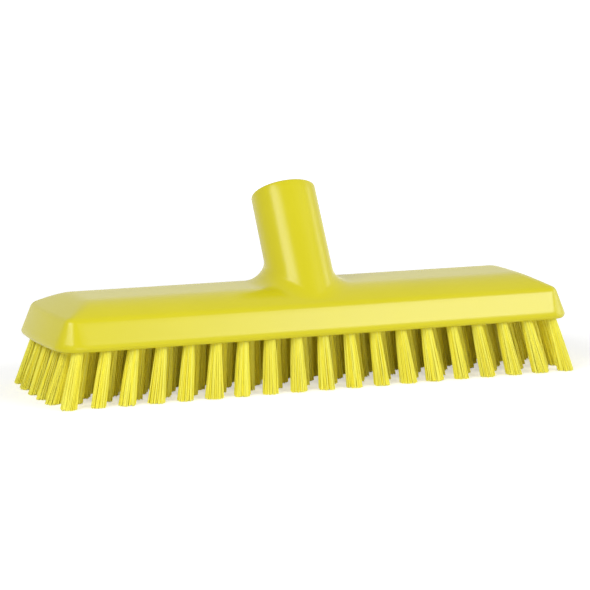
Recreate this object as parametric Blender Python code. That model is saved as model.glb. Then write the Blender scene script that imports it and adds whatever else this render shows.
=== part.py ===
"""Head of a floor scrub brush, in metres, +Z up, standing on its bristle tips.

One moulded block carries a leaning handle socket. Its underside has a shallow
pocket with a blind hole for the root of each tuft. Thirty-seven slices of
backing lie side by side in the pocket, and each carries one line of tufts.
The origin is on the floor, under the middle of the block. The front is -Y.
"""

import math

import bmesh
import bpy
from mathutils import Vector
from mathutils.geometry import delaunay_2d_cdt

# Block
BLOCK_LENGTH = 0.270
BLOCK_WIDTH = 0.070
BLOCK_CORNER_RADIUS = 0.0104
BLOCK_END_BOW = 0.0027
SIDE_HEIGHT = 0.0146
SIDE_DRAFT = 0.0054
FOOT_ROUND_HEIGHT = 0.0020
FOOT_ROUND_INSET = 0.0012
SHOULDER_CORNER_RADIUS = 0.0040
TOP_RISE = 0.0064
HIP_LENGTH = 0.0145
FLANK_WIDTH = 0.0106
HIP_SOFTNESS = 0.0003
FLANK_SOFTNESS = 0.0016

# Handle socket
SOCKET_LEAN = math.radians(30.3)
SOCKET_LENGTH = 0.0491
SOCKET_RIM_RADIUS = 0.0160
SOCKET_BASE_RADIUS = 0.0161
SOCKET_RIM_ROUND = 0.0010
SOCKET_WALL = 0.0045
SOCKET_FILLET = 0.0089
BORE_DEPTH = 0.042
BORE_MOUTH_CHAMFER = 0.0010
THREAD_PITCH = 0.0050
THREAD_DEPTH = 0.0009
THREAD_LEAD_IN = 0.0065
THREAD_TURNS = 5

# Tufts and their backing
BRISTLE_LENGTH = 0.026
TUFT_PITCH_X = 0.01374
TUFT_ROWS = 7
END_TUFTS = 6
END_ROW_BOW = 0.0010
TUFT_TIP_SPREAD_X = 0.0064
TUFT_TIP_SPREAD_Y = 0.0055
END_TIP_BOW = 0.0018
TUFT_ROOT_RADIUS = 0.0026
TUFT_TIP_RADIUS = 0.0039
STRANDS_PER_TUFT = 3
POCKET_SIDE_RIM = 0.0010
POCKET_END_RIM = 0.00594
BACKING_THICKNESS = 0.003
BACKING_MARGIN = 0.0003
BACKING_CORNER_RADIUS = 0.0037
ROOT_PLUG_RADIUS = 0.00245
ROOT_PLUG_LENGTH = 0.0030
FIT_CLEARANCE = 0.0003

# Counts of segments and steps
CORNER_STEPS = 5
SOCKET_STEPS = 28
FILLET_STEPS = 4
THREAD_ROWS_PER_TURN = 5
ROOT_SIDES = 6
STRAND_SIDES = 3
FOOT_SEARCH_STEPS = 40

# Shares of the sizes that they follow
COLUMN_SHARES = (-0.84, -0.62, -0.42, -0.24, 0.0, 0.24, 0.42, 0.62, 0.84)
FLANK_ROW_SHARES = (0.3, 0.62, 0.85, 1.0, 1.2, 1.9)
END_PLACE_SHARES = (-0.936, -0.772, -0.385, 0.0, 0.385, 0.772, 0.936)
HIP_COLUMN_SHARES = (-0.18, 0.0, 0.5)
SOCKET_FRONT_LEDGE_SHARE = 0.149
FILLET_ROOM_SHARE = 0.85
STRAND_ROOT_RADIUS_SHARE = 0.431
STRAND_TIP_RADIUS_SHARE = 0.328
SHOULDER_KEEP_OUT_SHARE = 0.985
FILLET_KEEP_OUT_SHARE = 1.1
RIM_ROUND_SHARES = ((0.0, 1.0), (0.3, 0.3), (1.0, 0.0))
FOOT_ROUND_SHARES = ((0.0, 1.0), (0.35, 0.28), (1.0, 0.0))
SAME_POINT_SHARE = 0.001
SMOOTH_ANGLE = math.radians(35)

# Finishes: colour, roughness, metallic
MOULDED_YELLOW = ((0.76, 0.70, 0.035, 1.0), 0.36, 0.0)
BRISTLE_YELLOW = ((0.80, 0.73, 0.06, 1.0), 0.45, 0.0)

# Levels and half sizes that follow from the driving dimensions
UNDERSIDE_Z = BRISTLE_LENGTH
SHOULDER_Z = UNDERSIDE_Z + SIDE_HEIGHT
RIDGE_Z = SHOULDER_Z + TOP_RISE
HALF_LENGTH = BLOCK_LENGTH / 2
HALF_WIDTH = BLOCK_WIDTH / 2
TOP_HALF_LENGTH = HALF_LENGTH - SIDE_DRAFT
TOP_HALF_WIDTH = HALF_WIDTH - SIDE_DRAFT
POCKET_Z = UNDERSIDE_Z + BACKING_THICKNESS + FIT_CLEARANCE
BORE_RADIUS = SOCKET_RIM_RADIUS - SOCKET_WALL

# Plan of the pocket, the backing in it, and the tufts on that, each inside the last
POCKET_HALF_LENGTH = HALF_LENGTH - FOOT_ROUND_INSET - POCKET_END_RIM
POCKET_HALF_WIDTH = HALF_WIDTH - FOOT_ROUND_INSET - POCKET_SIDE_RIM
BACKING_HALF_LENGTH = POCKET_HALF_LENGTH - FIT_CLEARANCE
BACKING_HALF_WIDTH = POCKET_HALF_WIDTH - FIT_CLEARANCE
LAST_COLUMN_X = BACKING_HALF_LENGTH - BACKING_MARGIN - TUFT_ROOT_RADIUS - END_ROW_BOW
LAST_ROW_Y = BACKING_HALF_WIDTH - BACKING_MARGIN - TUFT_ROOT_RADIUS
TUFT_COLUMNS = round(2 * LAST_COLUMN_X / TUFT_PITCH_X) + 1
COLUMN_STEP = LAST_COLUMN_X / (TUFT_COLUMNS - 1)
ROW_STEP = 2 * LAST_ROW_Y / (TUFT_ROWS - 1)
SLICE_HALF_LENGTH = (COLUMN_STEP - FIT_CLEARANCE) / 2
SAME_POINT = FIT_CLEARANCE * SAME_POINT_SHARE

# The socket leaves a share of the top's free width in front of its foot
SOCKET_REACH = SOCKET_BASE_RADIUS / math.cos(SOCKET_LEAN)
SOCKET_CREEP = TOP_RISE * math.tan(SOCKET_LEAN)
FREE_WIDTH = 2 * TOP_HALF_WIDTH - 2 * SOCKET_REACH - SOCKET_CREEP
AXIS_START_Y = SOCKET_FRONT_LEDGE_SHARE * FREE_WIDTH + SOCKET_REACH + SOCKET_CREEP - TOP_HALF_WIDTH

# The socket's axis, from where it crosses the level of the flat top
AXIS = Vector((0, math.sin(SOCKET_LEAN), math.cos(SOCKET_LEAN)))
ACROSS = Vector((1, 0, 0))
ALONG_SLOPE = AXIS.cross(ACROSS)
AXIS_START = Vector((0, AXIS_START_Y, RIDGE_Z))


def clear_scene():
    """Remove the objects of the file that the script runs in."""
    for old in list(bpy.data.objects):
        bpy.data.objects.remove(old, do_unlink=True)


def make_material(name, finish):
    """Return a Principled material with one plain finish."""
    colour, roughness, metallic = finish
    material = bpy.data.materials.new(name)
    material.use_nodes = True
    shader = material.node_tree.nodes["Principled BSDF"]
    shader.inputs["Base Color"].default_value = colour
    shader.inputs["Roughness"].default_value = roughness
    shader.inputs["Metallic"].default_value = metallic
    material.diffuse_color = colour
    return material


def make_object(name, mesh_builder, material):
    """Turn a filled bmesh into one named object with outward faces."""
    bmesh.ops.recalc_face_normals(mesh_builder, faces=mesh_builder.faces)
    mesh = bpy.data.meshes.new(name)
    mesh_builder.to_mesh(mesh)
    mesh_builder.free()
    mesh.shade_smooth()
    mesh.set_sharp_from_angle(angle=SMOOTH_ANGLE)
    mesh.materials.append(material)
    piece = bpy.data.objects.new(name, mesh)
    bpy.context.scene.collection.objects.link(piece)
    return piece


def add_loop(mesh_builder, points):
    """Add one closed loop of vertices."""
    return [mesh_builder.verts.new(point) for point in points]


def bridge(mesh_builder, first, second):
    """Join two loops of equal length with a band of quads."""
    for index, vertex in enumerate(first):
        following = (index + 1) % len(first)
        mesh_builder.faces.new((vertex, first[following], second[following], second[index]))


def bridge_all(mesh_builder, loops):
    """Join each loop to the next."""
    for first, second in zip(loops, loops[1:]):
        bridge(mesh_builder, first, second)


def inside(point, outline):
    """Say whether a plan point lies inside a closed plan outline."""
    hit = False
    for (x1, y1), (x2, y2) in zip(outline, outline[1:] + outline[:1]):
        if (y1 > point[1]) != (y2 > point[1]):
            if point[0] < x1 + (point[1] - y1) * (x2 - x1) / (y2 - y1):
                hit = not hit
    return hit


def near(point, outline):
    """Say whether a plan point lies in the bounding square of an outline."""
    xs = [corner[0] for corner in outline]
    ys = [corner[1] for corner in outline]
    return min(xs) <= point[0] <= max(xs) and min(ys) <= point[1] <= max(ys)


def fill_sheet(mesh_builder, outer, holes, extra_points=(), height=None):
    """Fill the plan area between an outer loop and its holes with triangles.

    The extra points lie inside the area, and height gives their level.
    """
    vertices = list(outer)
    edges = [(i, (i + 1) % len(outer)) for i in range(len(outer))]
    for hole in holes:
        start = len(vertices)
        vertices += hole
        edges += [(start + i, start + (i + 1) % len(hole)) for i in range(len(hole))]
    vertices += [mesh_builder.verts.new((x, y, height(x, y))) for x, y in extra_points]
    reach = max(abs(vertex.co.x) for vertex in vertices)
    plan = [Vector((vertex.co.x / reach, vertex.co.y / reach)) for vertex in vertices]
    outlines = [[(v.co.x / reach, v.co.y / reach) for v in hole] for hole in holes]
    _, _, faces, originals, _, _ = delaunay_2d_cdt(plan, edges, [], 1, 0)
    for face in faces:
        corners = [originals[index][0] for index in face]
        middle = sum((plan[corner] for corner in corners), Vector((0, 0))) / len(corners)
        if not any(near(middle, outline) and inside(middle, outline) for outline in outlines):
            mesh_builder.faces.new([vertices[corner] for corner in corners])


def scaled(outline, factor):
    """Return a plan outline grown or shrunk about its middle."""
    middle_x = sum(point[0] for point in outline) / len(outline)
    middle_y = sum(point[1] for point in outline) / len(outline)
    return [(middle_x + (x - middle_x) * factor, middle_y + (y - middle_y) * factor)
            for x, y in outline]


def rounded_rectangle(half_length, half_width, radius, side_places=(), end_places=()):
    """Return the plan points of a rounded rectangle, anticlockwise from +X.

    The places are X places along the long sides and Y places along the ends.
    """
    middle_x = half_length - radius
    middle_y = half_width - radius
    points = []
    for quarter, (sign_x, sign_y) in enumerate(((1, 1), (-1, 1), (-1, -1), (1, -1))):
        for step in range(CORNER_STEPS + 1):
            angle = (quarter + step / CORNER_STEPS) * math.pi / 2
            points.append((sign_x * middle_x + radius * math.cos(angle),
                           sign_y * middle_y + radius * math.sin(angle)))
        if sign_x == sign_y:
            points += [(x, sign_y * half_width) for x in sorted(side_places, reverse=sign_y > 0)]
        else:
            points += [(sign_x * half_length, y) for y in sorted(end_places, reverse=sign_x < 0)]
    return points


def bow_share(y):
    """Return the share of the block's half length that is left at a Y place."""
    return 1 - BLOCK_END_BOW / HALF_LENGTH * (y / HALF_WIDTH) ** 2


def bowed(outline):
    """Return a plan outline with its ends bowed outward in the middle."""
    return [(x * bow_share(y), y) for x, y in outline]


def side_places():
    """Return the X places of the points along the block's long sides."""
    return [share * TOP_HALF_LENGTH for share in COLUMN_SHARES]


def end_places():
    """Return the Y places of the points along the block's ends."""
    return [share * (HALF_WIDTH - BLOCK_CORNER_RADIUS) for share in END_PLACE_SHARES]


def flank_places():
    """Return the Y places of the points on both flanks, and the middle."""
    places = [0.0]
    for share in FLANK_ROW_SHARES:
        place = TOP_HALF_WIDTH - FLANK_WIDTH * share
        places += [place, -place]
    return places


def soft_minimum(first, second, softness):
    """Return the lower of two heights, rounded where they are nearly equal."""
    gap = abs(first - second)
    lower = min(first, second)
    if gap < softness:
        lower -= (softness - gap) ** 2 / softness / 4
    return lower


def flank_rise(y):
    """Return how far the flat top or its sloping flank stands above the shoulder."""
    flank = TOP_RISE * (TOP_HALF_WIDTH - abs(y)) / FLANK_WIDTH
    return soft_minimum(TOP_RISE, flank, FLANK_SOFTNESS)


def crown_height(x, y):
    """Return the level of the block's top at a plan point.

    The top is flat along its middle. A flank slopes down to the shoulder on
    each long side, and a plane hip slopes down to it at each end.
    """
    hip = TOP_RISE * (TOP_HALF_LENGTH * bow_share(y) - abs(x)) / HIP_LENGTH
    return SHOULDER_Z + max(soft_minimum(flank_rise(y), hip, HIP_SOFTNESS), 0)


def crease_place(y):
    """Return the X place at which the hip meets the rest of the top."""
    return TOP_HALF_LENGTH * bow_share(y) - HIP_LENGTH * flank_rise(y) / TOP_RISE


def crown_normal(point):
    """Return the unit normal of the block's top, away from its ends."""
    step = FIT_CLEARANCE
    slope = (crown_height(point.x, point.y + step) - crown_height(point.x, point.y - step)) / step / 2
    return Vector((0, -slope, 1)).normalized()


def socket_point(along, radius, angle):
    """Return a point beside the socket's axis, seen along it."""
    radial = ACROSS * math.cos(angle) + ALONG_SLOPE * math.sin(angle)
    return AXIS_START + AXIS * along + radial * radius


def socket_angles():
    """Return the angles of the socket's sides."""
    return [2 * math.pi * step / SOCKET_STEPS for step in range(SOCKET_STEPS)]


def socket_foot(angle):
    """Return how far along the axis one side line of the socket meets the top."""
    low, high = -SOCKET_LENGTH, SOCKET_LENGTH
    for _ in range(FOOT_SEARCH_STEPS):
        middle = (low + high) / 2
        point = socket_point(middle, SOCKET_BASE_RADIUS, angle)
        if point.z > crown_height(point.x, point.y):
            high = middle
        else:
            low = middle
    return (low + high) / 2


def fillet_points(angle):
    """Return the points of the fillet on one side line, from the socket to the top.

    It is limited by the room between the socket's foot and the shoulder.
    """
    foot = socket_point(socket_foot(angle), SOCKET_BASE_RADIUS, angle)
    radial = ACROSS * math.cos(angle) + ALONG_SLOPE * math.sin(angle)
    normal = crown_normal(foot)
    outward = (radial - normal * radial.dot(normal)).normalized()
    half_angle = AXIS.angle(outward) / 2
    tangent = SOCKET_FILLET / math.tan(half_angle)
    if outward.y * foot.y > 0:
        room = (TOP_HALF_WIDTH - abs(foot.y)) * FILLET_ROOM_SHARE
        tangent = min(tangent, room / abs(outward.y))
    upper = foot + AXIS * tangent
    lower = foot + outward * tangent
    lower.z = crown_height(lower.x, lower.y)
    weight = math.sin(half_angle)
    points = []
    for step in range(FILLET_STEPS + 1):
        t = step / FILLET_STEPS
        shares = ((1 - t) ** 2, 2 * weight * t * (1 - t), t ** 2)
        total = upper * shares[0] + foot * shares[1] + lower * shares[2]
        points.append(total / sum(shares))
    return points


def thread_radius(depth, angle):
    """Return the bore's radius at a depth, with its rounded right-hand thread."""
    turns = (depth - THREAD_LEAD_IN) / THREAD_PITCH
    if turns <= 0 or turns >= THREAD_TURNS:
        return BORE_RADIUS
    fade = min(turns, THREAD_TURNS - turns, 1)
    wave = (1 + math.cos(2 * math.pi * turns + angle)) / 2
    return BORE_RADIUS - THREAD_DEPTH * fade * wave


def bore_depths():
    """Return the depths of the rings down the bore."""
    rows = THREAD_TURNS * THREAD_ROWS_PER_TURN
    depths = [BORE_MOUTH_CHAMFER]
    depths += [THREAD_LEAD_IN + THREAD_PITCH * row / THREAD_ROWS_PER_TURN for row in range(rows + 1)]
    return depths + [BORE_DEPTH]


def block_outline(inset):
    """Return the block's plan outline at an inset from its widest level."""
    share = inset / SIDE_DRAFT
    radius = BLOCK_CORNER_RADIUS + (SHOULDER_CORNER_RADIUS - BLOCK_CORNER_RADIUS) * share
    plan = rounded_rectangle(HALF_LENGTH - inset, HALF_WIDTH - inset, radius,
                             side_places(), end_places())
    return bowed(plan)


def side_loops(mesh_builder):
    """Add the loops of the block's sides, from the underside to the shoulder."""
    levels = []
    for height_share, inset_share in FOOT_ROUND_SHARES:
        levels.append((UNDERSIDE_Z + FOOT_ROUND_HEIGHT * height_share, FOOT_ROUND_INSET * inset_share))
    levels.append((SHOULDER_Z, SIDE_DRAFT))
    return [add_loop(mesh_builder, [(x, y, level) for x, y in block_outline(inset)])
            for level, inset in levels]


def crown_points(keep_out):
    """Return the inner plan points of the block's top, clear of the socket."""
    limit = scaled(block_outline(SIDE_DRAFT), SHOULDER_KEEP_OUT_SHARE)
    points = []
    for y in flank_places():
        crease = crease_place(y)
        places = [x for x in side_places() if abs(x) < crease - HIP_LENGTH / 2]
        for share in HIP_COLUMN_SHARES:
            hip = crease + (TOP_HALF_LENGTH * bow_share(y) - crease) * share
            places += [hip, -hip]
        points += [(x, y) for x in places]
    return [point for point in points if inside(point, limit) and not inside(point, keep_out)]


def add_block_outside(mesh_builder):
    """Add the block's sides, top and socket, and return the lowest loop."""
    sides = side_loops(mesh_builder)
    bridge_all(mesh_builder, sides)
    fillet = [fillet_points(angle) for angle in socket_angles()]
    fillet_loops = [add_loop(mesh_builder, [line[step] for line in fillet])
                    for step in range(FILLET_STEPS, -1, -1)]
    foot_plan = [(vertex.co.x, vertex.co.y) for vertex in fillet_loops[0]]
    points = crown_points(scaled(foot_plan, FILLET_KEEP_OUT_SHARE))
    fill_sheet(mesh_builder, sides[-1], [fillet_loops[0]], points, crown_height)
    bridge_all(mesh_builder, fillet_loops + socket_loops(mesh_builder))
    return sides[0]


def socket_loops(mesh_builder):
    """Add the rings of the socket's rounded rim, mouth, threaded bore and floor."""
    rings = []
    for depth_share, inset_share in RIM_ROUND_SHARES[::-1]:
        rings.append((SOCKET_LENGTH - SOCKET_RIM_ROUND * depth_share,
                      [SOCKET_RIM_RADIUS - SOCKET_RIM_ROUND * inset_share] * SOCKET_STEPS))
    rings.append((SOCKET_LENGTH, [BORE_RADIUS + BORE_MOUTH_CHAMFER] * SOCKET_STEPS))
    for depth in bore_depths():
        rings.append((SOCKET_LENGTH - depth, [thread_radius(depth, angle) for angle in socket_angles()]))
    loops = []
    for along, radii in rings:
        pairs = zip(radii, socket_angles())
        loops.append(add_loop(mesh_builder, [socket_point(along, radius, angle) for radius, angle in pairs]))
    mesh_builder.faces.new(loops[-1])
    return loops


def end_row(sign):
    """Return the plan places of the straight line of tufts at one end."""
    places = []
    for number in range(END_TUFTS):
        share = 2 * number / (END_TUFTS - 1) - 1
        x = LAST_COLUMN_X + END_ROW_BOW * (1 - share ** 2)
        places.append((sign * x, share * LAST_ROW_Y))
    return places


def tuft_lines():
    """Return the lines of tufts across the block, each a list of plan places."""
    lines = [end_row(-1)]
    for index in range(1, 2 * TUFT_COLUMNS - 2):
        x = index * COLUMN_STEP - LAST_COLUMN_X
        rows = range(index % 2, TUFT_ROWS, 2)
        lines.append([(x, row * ROW_STEP - LAST_ROW_Y) for row in rows])
    return lines + [end_row(1)]


def tuft_place(x, y, height):
    """Return where the leaning tuft with its root at a plan point is at a height.

    The height counts upward from the root. The tips spread outward below it,
    the outer rows most, and the tips of the end lines in a wider bow.
    """
    share = height / BRISTLE_LENGTH
    row_share = y / LAST_ROW_Y
    end_share = max(abs(x) - LAST_COLUMN_X + COLUMN_STEP, 0) / COLUMN_STEP
    bow = END_TIP_BOW * end_share * (1 - row_share ** 4)
    spread_x = TUFT_TIP_SPREAD_X * x / LAST_COLUMN_X + math.copysign(bow, x)
    spread_y = TUFT_TIP_SPREAD_Y * row_share * abs(row_share)
    return x - spread_x * share, y - spread_y * share


def root_loop(mesh_builder, place, height, radius):
    """Add the loop of a folded tuft end or of its hole at a height above the backing."""
    x, y = tuft_place(*place, height)
    level = UNDERSIDE_Z + BACKING_THICKNESS + height
    points = []
    for side in range(ROOT_SIDES):
        angle = 2 * math.pi * (side + 1 / 2) / ROOT_SIDES
        points.append((x + radius * math.cos(angle), y + radius * math.sin(angle), level))
    return add_loop(mesh_builder, points)


def add_root_holes(mesh_builder):
    """Add the walls and floors of the block's blind holes, and return their mouths."""
    mouths = []
    radius = ROOT_PLUG_RADIUS + FIT_CLEARANCE
    for line in tuft_lines():
        for place in line:
            mouth = root_loop(mesh_builder, place, FIT_CLEARANCE, radius)
            floor = root_loop(mesh_builder, place, FIT_CLEARANCE + ROOT_PLUG_LENGTH, radius)
            bridge(mesh_builder, mouth, floor)
            mesh_builder.faces.new(floor)
            mouths.append(mouth)
    return mouths


def build_block(material):
    """Build the moulded block with its socket, pocket and blind tuft holes."""
    mesh_builder = bmesh.new()
    lowest = add_block_outside(mesh_builder)
    pocket = rounded_rectangle(POCKET_HALF_LENGTH, POCKET_HALF_WIDTH, BACKING_CORNER_RADIUS + FIT_CLEARANCE)
    mouth = add_loop(mesh_builder, [(x, y, UNDERSIDE_Z) for x, y in pocket])
    ceiling = add_loop(mesh_builder, [(x, y, POCKET_Z) for x, y in pocket])
    bridge(mesh_builder, mouth, ceiling)
    fill_sheet(mesh_builder, lowest, [mouth])
    fill_sheet(mesh_builder, ceiling, add_root_holes(mesh_builder))
    return make_object("brush_block", mesh_builder, material)


def clip_to_columns(outline, low_x, high_x):
    """Cut a convex plan outline to the part between two X places."""
    for limit, sign in ((low_x, 1), (high_x, -1)):
        kept = []
        for (x1, y1), (x2, y2) in zip(outline, outline[1:] + outline[:1]):
            first_in = (x1 - limit) * sign >= 0
            second_in = (x2 - limit) * sign >= 0
            if first_in:
                kept.append((x1, y1))
            if first_in != second_in:
                share = (limit - x1) / (x2 - x1)
                kept.append((limit, y1 + (y2 - y1) * share))
        outline = kept
    return [point for index, point in enumerate(outline)
            if math.dist(point, outline[index - 1]) > SAME_POINT]


def slice_limits(index):
    """Return the X places between which one slice of the backing lies."""
    middle = index * COLUMN_STEP - LAST_COLUMN_X
    low = middle - SLICE_HALF_LENGTH
    high = middle + SLICE_HALF_LENGTH
    if index == 0:
        low = -BACKING_HALF_LENGTH
    if index == 2 * TUFT_COLUMNS - 2:
        high = BACKING_HALF_LENGTH
    return low, high


def strand_loop(mesh_builder, place, height, tuft_radius, radius_share, strand):
    """Add the loop of one strand of a tuft at a height above the underside.

    Tufts on opposite sides of the block are mirror images.
    """
    mirror_x = -1 if place[0] < 0 else 1
    mirror_y = -1 if place[1] < 0 else 1
    x, y = tuft_place(*place, height)
    turn = 2 * math.pi * strand / STRANDS_PER_TUFT + math.pi / 2
    strand_radius = tuft_radius * radius_share
    offset = tuft_radius - strand_radius
    points = []
    for side in range(STRAND_SIDES):
        angle = turn + 2 * math.pi * side / STRAND_SIDES
        points.append((x + mirror_x * (offset * math.cos(turn) + strand_radius * math.cos(angle)),
                       y + mirror_y * (offset * math.sin(turn) + strand_radius * math.sin(angle)),
                       UNDERSIDE_Z + height))
    return add_loop(mesh_builder, points)


def add_tuft(mesh_builder, place):
    """Add the strands of one tuft, cut flat at the floor, and return their roots."""
    roots = []
    for strand in range(STRANDS_PER_TUFT):
        root = strand_loop(mesh_builder, place, 0, TUFT_ROOT_RADIUS, STRAND_ROOT_RADIUS_SHARE, strand)
        tip = strand_loop(mesh_builder, place, -BRISTLE_LENGTH, TUFT_TIP_RADIUS, STRAND_TIP_RADIUS_SHARE,
                          strand)
        bridge(mesh_builder, root, tip)
        mesh_builder.faces.new(tip)
        roots.append(root)
    return roots


def add_plug(mesh_builder, place):
    """Add the folded root of one tuft above the backing, and return its foot."""
    foot = root_loop(mesh_builder, place, 0, ROOT_PLUG_RADIUS)
    head = root_loop(mesh_builder, place, ROOT_PLUG_LENGTH, ROOT_PLUG_RADIUS)
    bridge(mesh_builder, foot, head)
    mesh_builder.faces.new(head)
    return foot


def build_tuft_strip(index, places, material):
    """Build one slice of backing with its line of tufts and their roots."""
    mesh_builder = bmesh.new()
    backing = rounded_rectangle(BACKING_HALF_LENGTH, BACKING_HALF_WIDTH, BACKING_CORNER_RADIUS)
    plan = clip_to_columns(backing, *slice_limits(index))
    lower = add_loop(mesh_builder, [(x, y, UNDERSIDE_Z) for x, y in plan])
    upper = add_loop(mesh_builder, [(x, y, UNDERSIDE_Z + BACKING_THICKNESS) for x, y in plan])
    bridge(mesh_builder, lower, upper)
    strand_roots = []
    plug_feet = []
    for place in places:
        strand_roots += add_tuft(mesh_builder, place)
        plug_feet.append(add_plug(mesh_builder, place))
    fill_sheet(mesh_builder, lower, strand_roots)
    fill_sheet(mesh_builder, upper, plug_feet)
    return make_object(f"tuft_strip_{index + 1:02d}", mesh_builder, material)


def main():
    """Build the whole brush head."""
    clear_scene()
    moulded = make_material("moulded_yellow", MOULDED_YELLOW)
    bristle = make_material("bristle_yellow", BRISTLE_YELLOW)
    build_block(moulded)
    for index, places in enumerate(tuft_lines()):
        build_tuft_strip(index, places, bristle)


main()
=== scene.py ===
"""Looks of a floor scrub brush head, in metres, +Z up, standing on its bristle tips.

A fine mesh of the moulded block with its leaning handle socket stands for the
block's solid, and a bundle of filaments for each tuft stands for the strips of
thick strands. The front is -Y, and the socket leans back towards +Y.
"""

import logging
import math
import random
from dataclasses import dataclass, field
from enum import Enum
from typing import Callable, Iterable, Optional, Union

import bmesh
import bpy
from mathutils import Matrix, Vector
from mathutils.geometry import delaunay_2d_cdt


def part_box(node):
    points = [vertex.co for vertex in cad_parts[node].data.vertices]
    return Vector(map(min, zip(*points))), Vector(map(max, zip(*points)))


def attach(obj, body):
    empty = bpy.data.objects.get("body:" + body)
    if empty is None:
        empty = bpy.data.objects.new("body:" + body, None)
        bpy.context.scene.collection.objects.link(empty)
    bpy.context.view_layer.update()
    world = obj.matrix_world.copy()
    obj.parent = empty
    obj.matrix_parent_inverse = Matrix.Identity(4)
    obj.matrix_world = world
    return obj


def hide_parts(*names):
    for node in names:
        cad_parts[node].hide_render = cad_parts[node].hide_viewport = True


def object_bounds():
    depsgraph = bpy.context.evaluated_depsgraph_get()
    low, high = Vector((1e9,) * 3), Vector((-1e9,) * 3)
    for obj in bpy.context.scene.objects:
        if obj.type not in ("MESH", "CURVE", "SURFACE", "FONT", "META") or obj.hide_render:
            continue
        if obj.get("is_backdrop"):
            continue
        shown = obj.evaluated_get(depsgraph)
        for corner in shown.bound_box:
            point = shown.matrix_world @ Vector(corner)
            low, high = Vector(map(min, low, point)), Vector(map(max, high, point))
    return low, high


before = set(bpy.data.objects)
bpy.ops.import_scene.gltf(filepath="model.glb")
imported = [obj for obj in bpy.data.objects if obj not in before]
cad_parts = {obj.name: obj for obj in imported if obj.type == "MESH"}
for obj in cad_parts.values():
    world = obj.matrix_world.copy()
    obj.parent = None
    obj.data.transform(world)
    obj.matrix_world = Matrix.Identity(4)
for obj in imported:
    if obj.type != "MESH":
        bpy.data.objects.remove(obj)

LOG = logging.getLogger("scrub_brush")

Plan = tuple[float, float]
Stretch = tuple[float, float, float]
Colour = tuple[float, float, float, float]
Loop = list[bmesh.types.BMVert]

BODY = "root"
PHOTO_WIDTH = 590
SENSOR_WIDTH_MM = 36.0
TINT_ATTRIBUTE = "strand_tint"

FULL_TURN = 2 * math.pi
QUARTER_TURN = math.pi / 2
# The golden angle, in half turns, which spreads points evenly over a disc.
GOLDEN_HALF_TURNS = 3 - math.sqrt(5)

# A noise pattern's usual value, about which it varies.
NOISE_MIDDLE = 0.5
# Numbers of the Mix node's colour sockets, because their names repeat.
MIX_SHARE, MIX_FIRST, MIX_SECOND, MIX_RESULT = 0, 6, 7, 2

# How a plan area is filled: only inside its outlines, and with its points as given.
FILL_INSIDE = 1
NO_TOLERANCE = 0


class Slot(Enum):
    """Material slots of the record."""

    MOULDED = "moulded_yellow"
    BRISTLE = "bristle_yellow"


# ---------------------------------------------------------------- shader nodes


@dataclass(frozen=True)
class Value:
    """A socket whose arithmetic adds Math nodes."""

    maker: "NodeMaker"
    socket: bpy.types.NodeSocket

    def _math(self, operation: str, *operands: "Operand") -> "Value":
        """Return one Math node's result."""
        return self.maker.add("ShaderNodeMath", {"operation": operation}, dict(enumerate(operands)))

    def __add__(self, other: "Operand") -> "Value":
        """Return the sum."""
        return self._math("ADD", self, other)

    def __radd__(self, other: "Operand") -> "Value":
        """Return the sum with a number before the sign."""
        return self._math("ADD", other, self)

    def __sub__(self, other: "Operand") -> "Value":
        """Return the difference."""
        return self._math("SUBTRACT", self, other)

    def __rsub__(self, other: "Operand") -> "Value":
        """Return the difference from a number."""
        return self._math("SUBTRACT", other, self)

    def __mul__(self, other: "Operand") -> "Value":
        """Return the product."""
        return self._math("MULTIPLY", self, other)

    def __rmul__(self, other: "Operand") -> "Value":
        """Return the product with a number before the sign."""
        return self._math("MULTIPLY", other, self)

    def at_least(self, other: "Operand") -> "Value":
        """Return the larger of the two."""
        return self._math("MAXIMUM", self, other)


Operand = Union[Value, float, int]


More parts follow.
